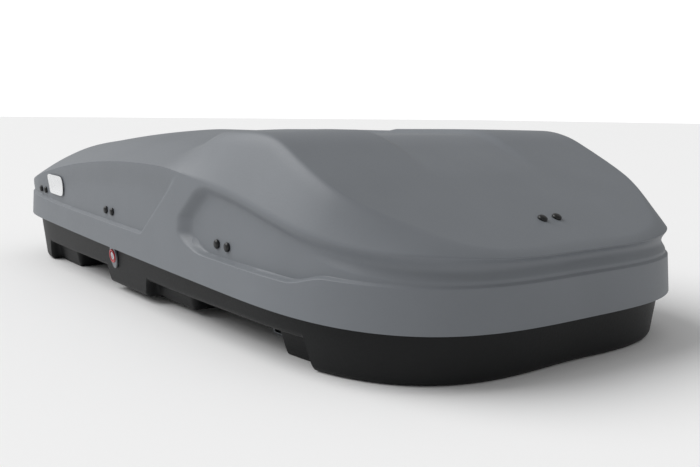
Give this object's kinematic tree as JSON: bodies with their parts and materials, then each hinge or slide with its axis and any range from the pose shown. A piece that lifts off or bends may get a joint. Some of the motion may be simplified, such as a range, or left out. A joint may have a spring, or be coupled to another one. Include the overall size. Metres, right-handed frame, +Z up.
{
  "type": "roof cargo box",
  "caption": "Hard-shell car roof box: side-opening grey lid over a black base tray, with hinges, gas struts, central locking and roof-bar clamps.",
  "frame": {"origin": "centre of the footprint, on the plane that the front and the rear bulge of the underside rest on", "axes": "+X along the length towards the sloping nose, -Y towards the side that opens, +Z up"},
  "size_m": [1.7294, 0.9078, 0.375],
  "materials": {
    "base_plastic": "black moulded sheet with a fine grain",
    "lid_plastic": "grey moulded sheet with a fine grain",
    "badge": "plain white plate",
    "rubber_edge": "matt edging",
    "grey_metal": "satin",
    "red_plastic": "satin",
    "bright_metal": "polished",
    "dark_steel": "dark coated",
    "black_plastic": "satin black",
    "black_paint": "satin black",
    "webbing": "woven strap"
  },
  "bodies": {
    "base": {"base_shell": "base_plastic", "edge_trim": "rubber_edge", "lock_housing": "grey_metal", "lock_ring": "red_plastic", "hinge_base_leaf_1": "dark_steel", "hinge_base_leaf_2": "dark_steel", "hinge_base_leaf_3": "dark_steel", "hinge_pin_1": "grey_metal", "hinge_pin_2": "grey_metal", "hinge_pin_3": "grey_metal", "strut_base_bracket_1": "dark_steel", "strut_base_bracket_2": "dark_steel", "clamp_plate_1": "dark_steel", "clamp_plate_2": "dark_steel", "clamp_plate_3": "dark_steel", "clamp_plate_4": "dark_steel", "strap_1": "webbing", "strap_2": "webbing", "strap_buckle_1": "black_plastic", "strap_buckle_2": "black_plastic"},
    "lid": {"lid_shell": "lid_plastic", "badge_plate": "badge", "nose_bracket": "black_plastic", "striker_1": "black_plastic", "striker_2": "black_plastic", "striker_3": "black_plastic", "hinge_lid_leaf_1": "black_plastic", "hinge_lid_leaf_2": "black_plastic", "hinge_lid_leaf_3": "black_plastic", "strut_lid_bracket_1": "dark_steel", "strut_lid_bracket_2": "dark_steel"},
    "lock_cylinder": {"lock_barrel": "bright_metal", "lock_cam": "dark_steel"},
    "latch_bar": {"latch_bar": "dark_steel", "latch_claw_1": "dark_steel", "latch_claw_2": "dark_steel", "latch_claw_3": "dark_steel"},
    "strut_tube_1": {"strut_tube_1": "black_paint"},
    "strut_rod_1": {"strut_rod_1": "bright_metal"},
    "strut_tube_2": {"strut_tube_2": "black_paint"},
    "strut_rod_2": {"strut_rod_2": "bright_metal"},
    "clamp_knob_1": {"clamp_knob_1": "red_plastic"},
    "clamp_claw_1": {"clamp_claw_1": "grey_metal"},
    "clamp_knob_2": {"clamp_knob_2": "red_plastic"},
    "clamp_claw_2": {"clamp_claw_2": "grey_metal"},
    "clamp_knob_3": {"clamp_knob_3": "red_plastic"},
    "clamp_claw_3": {"clamp_claw_3": "grey_metal"},
    "clamp_knob_4": {"clamp_knob_4": "red_plastic"},
    "clamp_claw_4": {"clamp_claw_4": "grey_metal"}
  },
  "joints": [
    {"name": "lid_hinge", "type": "hinge", "parent": "base", "child": "lid", "pos_m": [-0.00026, 0.441, 0.09757], "axis": [-0.9997, 0, 0.0262], "range_deg": [0, 58]},
    {"name": "lock_turn", "type": "hinge", "parent": "base", "child": "lock_cylinder", "pos_m": [-0.10365, -0.42291, 0.08427], "axis": [0.0031, 0.9929, 0.1191], "range_deg": [0, 90]},
    {"name": "latch_slide", "type": "slide", "parent": "base", "child": "latch_bar", "axis": [0.9997, 0, -0.0262], "range_m": [0, 0.0284]},
    {"name": "strut_pivot_1", "type": "hinge", "parent": "base", "child": "strut_tube_1", "pos_m": [0.35435, 0.214, 0.07827], "axis": [-0.9997, 0, 0.0262], "range_deg": [0, 18.77]},
    {"name": "strut_extend_1", "type": "slide", "parent": "strut_tube_1", "child": "strut_rod_1", "axis": [0.0177, 0.7379, 0.6747], "range_m": [0, 0.11937]},
    {"name": "strut_pivot_2", "type": "hinge", "parent": "base", "child": "strut_tube_2", "pos_m": [-0.39039, 0.214, 0.09779], "axis": [-0.9997, 0, 0.0262], "range_deg": [0, 18.77]},
    {"name": "strut_extend_2", "type": "slide", "parent": "strut_tube_2", "child": "strut_rod_2", "axis": [0.0177, 0.7379, 0.6747], "range_m": [0, 0.11937]},
    {"name": "knob_turn_1", "type": "hinge", "parent": "base", "child": "clamp_knob_1", "pos_m": [0.479, -0.3, 0.06], "axis": [0, 0, -1], "range_deg": [0, 2160]},
    {"name": "claw_lift_1", "type": "slide", "parent": "base", "child": "clamp_claw_1", "axis": [0, 0, 1], "range_m": [0, 0.012]},
    {"name": "knob_turn_2", "type": "hinge", "parent": "base", "child": "clamp_knob_2", "pos_m": [0.479, 0.3, 0.06], "axis": [0, 0, -1], "range_deg": [0, 2160]},
    {"name": "claw_lift_2", "type": "slide", "parent": "base", "child": "clamp_claw_2", "axis": [0, 0, 1], "range_m": [0, 0.012]},
    {"name": "knob_turn_3", "type": "hinge", "parent": "base", "child": "clamp_knob_3", "pos_m": [-0.271, -0.3, 0.06], "axis": [0, 0, -1], "range_deg": [0, 2160]},
    {"name": "claw_lift_3", "type": "slide", "parent": "base", "child": "clamp_claw_3", "axis": [0, 0, 1], "range_m": [0, 0.012]},
    {"name": "knob_turn_4", "type": "hinge", "parent": "base", "child": "clamp_knob_4", "pos_m": [-0.271, 0.3, 0.06], "axis": [0, 0, -1], "range_deg": [0, 2160]},
    {"name": "claw_lift_4", "type": "slide", "parent": "base", "child": "clamp_claw_4", "axis": [0, 0, 1], "range_m": [0, 0.012]}
  ],
  "couplings": [
    {"joint": "lock_turn", "follows": "latch_slide", "rad_per_m": 55.3},
    {"joint": "strut_pivot_1", "follows": "lid_hinge", "ratio": 0.3219},
    {"joint": "strut_extend_1", "follows": "lid_hinge", "m_per_rad": 0.11762},
    {"joint": "strut_pivot_2", "follows": "lid_hinge", "ratio": 0.3219},
    {"joint": "strut_extend_2", "follows": "lid_hinge", "m_per_rad": 0.11762},
    {"joint": "knob_turn_1", "follows": "claw_lift_1", "rad_per_m": 3141.5},
    {"joint": "knob_turn_2", "follows": "claw_lift_2", "rad_per_m": 3141.5},
    {"joint": "knob_turn_3", "follows": "claw_lift_3", "rad_per_m": 3141.5},
    {"joint": "knob_turn_4", "follows": "claw_lift_4", "rad_per_m": 3141.5}
  ]
}
